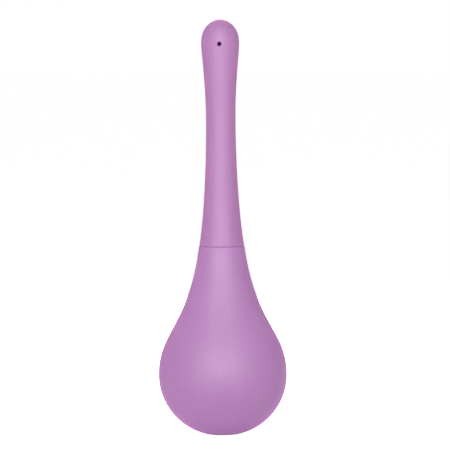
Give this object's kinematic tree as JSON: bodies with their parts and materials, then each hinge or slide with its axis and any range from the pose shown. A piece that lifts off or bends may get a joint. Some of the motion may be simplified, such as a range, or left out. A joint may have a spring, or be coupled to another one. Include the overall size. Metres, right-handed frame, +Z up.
{
  "type": "enema bulb",
  "caption": "Round squeeze bulb on a small flat foot, with a long waisted nozzle, rounded at the tip, that unscrews from the bulb's neck and has side outlets.",
  "frame": {"origin": "centre of the bulb's flat foot, on the surface that it stands on", "axes": "+Z up the common axis of bulb and nozzle, -Y towards the viewer and the outlet that the picture shows, +X to the right in the picture"},
  "size_m": [0.077, 0.077, 0.2495],
  "materials": {
    "bulb_rubber": "matte",
    "nozzle_rubber": "satin",
    "rigid_plastic": "satin",
    "seal_rubber": "satin"
  },
  "bodies": {
    "bulb": {"bulb": "bulb_rubber", "neck_socket": "rigid_plastic"},
    "seal": {"seal_ring": "seal_rubber"},
    "nozzle": {"nozzle": "nozzle_rubber", "screw_plug": "rigid_plastic"}
  },
  "joints": [
    {"name": "nozzle_lift", "type": "slide", "parent": "bulb", "child": "seal", "axis": [0, 0, 1], "range_m": [0, 0.00788]},
    {"name": "nozzle_turn", "type": "hinge", "parent": "seal", "child": "nozzle", "pos_m": [0, 0, 0.1136], "axis": [0, 0, 1], "range_deg": [0, 810]}
  ],
  "couplings": [
    {"joint": "nozzle_lift", "follows": "nozzle_turn", "m_per_rad": 0.00055704}
  ]
}
